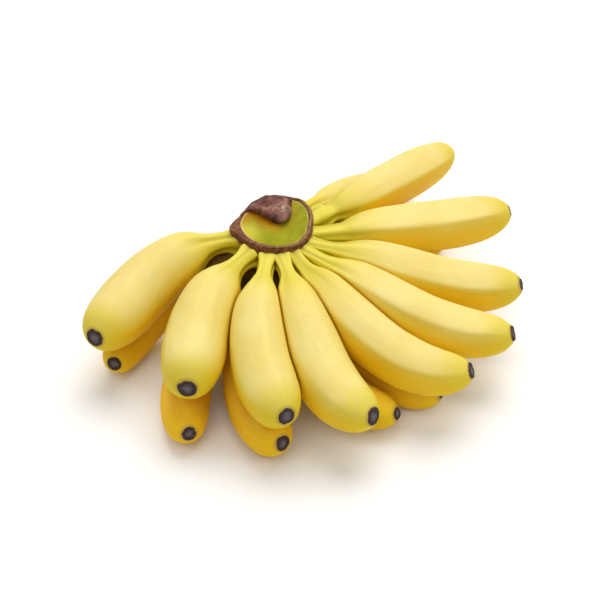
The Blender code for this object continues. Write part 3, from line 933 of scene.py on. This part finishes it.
flapForm = {
    "rimBearings": (172, 62),  # where it is still attached, going over the back
    "rimInset": 0.7 * mm,
    "rimHeight": 61.6 * mm,
    "edgeHeight": 59.4 * mm,
    "edge": (  # its free edge in the crown's plan, in millimetres, with the height of the curl
        (-18, 5, 0.4), (-15, 9, 1.2), (-12, 11, 1.8), (-8, 9, 2.4), (-4, 6, 2.8), (0, 3, 3.0), (4, 1, 2.8),
        (7, 2, 2.8), (9, 5, 2.8), (10, 9, 2.6), (10, 13, 1.6), (10, 18, 0.4),
    ),
    "columns": 100,
    "rows": 40,
    "thick": 1.5 * mm,
    "thinFrom": 0.9,  # share of the way to the free edge where it starts to thin
    "arch": 2.4 * mm,
    "archWidth": 14 * mm,  # where it is narrower than this, it arches less
    "wrinkle": 0.9 * mm,
    "wrinkleScale": 0.16,
    "flapHighlight": (6, 10, 3.2),  # where a painted highlight lies on the flap, and how wide
    "rimDarkening": (0.85, 0.16),  # how dark it is along the rim, and how far in
    # tones from the dark folds to the tan of the raised wrinkles: painted shade and highlight following the
    # wrinkles, mixed with grain
    "tones": (
        (0.0, (0.022, 0.007, 0.007)), (0.35, (0.120, 0.037, 0.028)), (0.70, (0.205, 0.080, 0.058)),
        (1.0, (0.36, 0.18, 0.12)),
    ),
    "grain": (480, 6, 0.68),
    "grainShift": (0.3, 0.7, -0.5, 0.5),
    "grainShare": 0.45,
    "clouds": (95, 3, 0.55),
    "tan": (0.30, 0.15, 0.05),
    "tanFrom": (0.55, 0.75, 0, 0.30),
    "flapHighlightTan": (0.68, 0.44, 0.30),
    "flapHighlightGrain": (0.42, 0.60, 0.1, 0.9),
    "darkAtRim": (0.022, 0.012, 0.012),
    "rough": 0.55,
    "specular": 0.25,
    "bump": (0.9, 0.45 * mm),
}


def flapMaterial():
    material, tree, shader = newMaterial("dried_flap")
    look, place = flapForm, ownPlace(tree)
    grain = noiseField(tree, place, *look["grain"])
    clouds = noiseField(tree, place, *look["clouds"])
    shift = valueRamp(tree, grain, *look["grainShift"])
    # Painted light and shade: paler on the raised wrinkles, darker in their folds, mixed with grain
    shade = calculate(tree, "MULTIPLY_ADD", shift, look["grainShare"], readValue(tree, "crease"))
    colour = colourRamp(tree, shade, look["tones"])
    colour = mixColour(tree, valueRamp(tree, clouds, *look["tanFrom"]), colour, look["tan"])
    # Painted highlight: a pale tan patch on the flap's bulge
    flapHighlight = multiply(tree, readValue(tree, "paintedHighlight"), valueRamp(tree, grain, *look["flapHighlightGrain"]))
    colour = mixColour(tree, flapHighlight, colour, look["flapHighlightTan"])
    colour = mixColour(tree, readValue(tree, "darkAtRim"), colour, look["darkAtRim"])
    finishShader(tree, shader, look, colour, grain)
    return material


# Quads over both sides of a sheet, and along its border
def sheetFaces(columns, rows):
    count, row = (columns + 1) * (rows + 1), rows + 1
    faces = []
    for i in range(columns):
        for j in range(rows):
            a, b, c, d = i * row + j, (i + 1) * row + j, (i + 1) * row + j + 1, i * row + j + 1
            faces.append((a, d, c, b))
            faces.append((a + count, b + count, c + count, d + count))
    border = [(i * row, (i + 1) * row) for i in range(columns)]
    border += [(columns * row + j, columns * row + j + 1) for j in range(rows)]
    border += [((i + 1) * row + rows, i * row + rows) for i in range(columns)]
    border += [(j + 1, j) for j in range(rows)]
    for a, b in border:
        faces.append((a, b, b + count, a + count))
    return faces


# A leathery tongue of stem skin, dried and curled in over the cut from the back of the rim
def buildFlap():
    columns, rows = flapForm["columns"], flapForm["rows"]
    first, last = (math.radians(bearing) for bearing in flapForm["rimBearings"])
    knots = np.array(flapForm["edge"], float)
    at = np.linspace(0, 1, len(knots))
    highlightX, highlightY, highlightWide = flapForm["flapHighlight"]
    rimDarkMost, rimDarkRun = flapForm["rimDarkening"]
    thinFrom, scale = flapForm["thinFrom"], flapForm["wrinkleScale"] / mm
    top, bottom, crease, paintedHighlight, darkAtRim = [], [], [], [], []
    for i in range(columns + 1):
        s = i / columns
        bearing = first + (last - first) * s
        rim = float(crownOutline(bearing, 0)) - flapForm["rimInset"]
        rimPoint = np.array((rim * math.cos(bearing), rim * math.sin(bearing), flapForm["rimHeight"]))
        free = np.array([np.interp(s, at, knots[:, k]) for k in range(3)]) * mm
        freePoint = np.array((free[0], free[1], flapForm["edgeHeight"] + free[2]))
        width = np.linalg.norm(freePoint[:2] - rimPoint[:2])
        body = math.sin(math.pi * min(max(s, 0.02), 0.98)) ** 0.5
        for j in range(rows + 1):
            t = j / rows
            spot = rimPoint + (freePoint - rimPoint) * t
            swell = math.sin(math.pi * min(t * 1.02, 1)) ** 0.8 * min(width / flapForm["archWidth"], 1)
            place = Vector((spot[0] * scale, spot[1] * scale, 2.0))
            fold = noise.noise(place) + 0.6 * noise.noise(place * 2.3 + Vector((0, 0, 5)))
            fold += 0.3 * noise.noise(place * 5.2)
            height = spot[2] + flapForm["arch"] * swell + flapForm["wrinkle"] * fold * body
            thin = 1
            if t > thinFrom:
                thin = 0.35 + 0.65 * math.sin(math.pi * min(0.5 + 0.5 * (1 - t) ** 0.5, 1)) ** 0.3
            top.append((spot[0], spot[1], height))
            bottom.append((spot[0], spot[1], height - flapForm["thick"] * thin * (0.4 + 0.6 * body)))
            # the raised wrinkles are painted paler and their folds darker
            crease.append(min(max(0.50 + 0.55 * fold, 0), 1))
            fromHighlight = (spot[0] / mm - highlightX) ** 2 + (spot[1] / mm - highlightY) ** 2
            paintedHighlight.append(math.exp(-fromHighlight / highlightWide ** 2))
            darkAtRim.append(rimDarkMost * max(0, 1 - t / rimDarkRun) * body)
    points = tiltWithFace(np.array(top + bottom) + crownAxis)
    values = {"crease": crease * 2, "paintedHighlight": paintedHighlight * 2, "darkAtRim": darkAtRim * 2}
    piece = newMesh("dried_flap", points, sheetFaces(columns, rows), flapMaterial(), values)
    smooth = piece.modifiers.new("rounder", "SUBSURF")
    smooth.levels = smooth.render_levels = 1
    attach(piece, "root")


studio = {
    "floorSize": 3.0,
    "floorColour": (0.93, 0.93, 0.93),
    "floorRough": 0.9,
    "floorSpecular": 0.1,
    "sky": 0.22,
    "lamps": (  # name, place, size, power, colour
        ("key_light", (0.25, 1.10, 2.35), 2.6, 66, (1.0, 0.99, 0.97)),
        ("front_light", (-0.30, -1.30, 2.10), 2.4, 18, (1.0, 0.99, 0.98)),
        ("right_light", (1.60, -0.40, 1.30), 1.4, 8, (1.0, 0.99, 0.98)),
        ("left_light", (-1.70, 0.50, 1.50), 1.4, 5, (1.0, 0.99, 0.98)),
    ),
    "elevation": 43,
    "distance": 0.78,
    "viewAngle": 23.2,
    "aim": (12.5 * mm, -22 * mm, 28 * mm),  # in the hand's own plan, before the hand is centred
}


def addToScene(name, data):
    thing = bpy.data.objects.new(name, data)
    bpy.context.scene.collection.objects.link(thing)
    return thing


def buildFloor():
    half = studio["floorSize"] / 2
    corners = [(-half, -half, 0), (half, -half, 0), (half, half, 0), (-half, half, 0)]
    mesh = bpy.data.meshes.new("floor")
    mesh.from_pydata(corners, [], [(0, 1, 2, 3)])
    material, tree, shader = newMaterial("floor_paper")
    feed(tree, shader, (("Base Color", studio["floorColour"]), ("Roughness", studio["floorRough"]),
                        ("Specular IOR Level", studio["floorSpecular"])))
    mesh.materials.append(material)
    floor = addToScene("floor", mesh)


def addSoftbox(name, place, size, power, colour):
    data = bpy.data.lights.new(name, "AREA")
    data.shape = "DISK"
    data.size = size
    data.energy = power
    data.color = colour
    lamp = addToScene(name, data)
    lamp.location = place
    lamp.rotation_euler = (-Vector(place)).to_track_quat("-Z", "Y").to_euler()


def lightStudio():
    for lamp in studio["lamps"]:
        addSoftbox(*lamp)
    world = bpy.data.worlds.new("sky")
    world.use_nodes = True
    sky = world.node_tree.nodes["Background"]
    feed(world.node_tree, sky, (("Color", (1, 1, 1)), ("Strength", studio["sky"])))
    bpy.context.scene.world = world
    bpy.context.scene.view_settings.view_transform = "Standard"


def addCamera():
    data = bpy.data.cameras.new("camera")
    data.angle = math.radians(studio["viewAngle"])
    data.clip_start = 10 * mm
    camera = addToScene("camera", data)
    aim = Vector(studio["aim"]) + Vector(handShift)
    slope = math.radians(studio["elevation"])
    away = Vector((0, -math.cos(slope), math.sin(slope)))
    camera.location = aim + away * studio["distance"]
    camera.rotation_euler = (-away).to_track_quat("-Z", "Y").to_euler()
    bpy.context.scene.camera = camera


fruits = readFruits()
for fruit in fruits.values():
    buildFruit(fruit, fruits)
print("fruits grown:", len(fruits))
dried = tipMaterial()
for fruit in fruits.values():
    buildTip(fruit, dried)
print("dried tips set")
buildCrownBody()
buildCutFace()
buildFlap()
print("crown cut and dried")
buildFloor()
lightStudio()
addCamera()
print("studio ready")
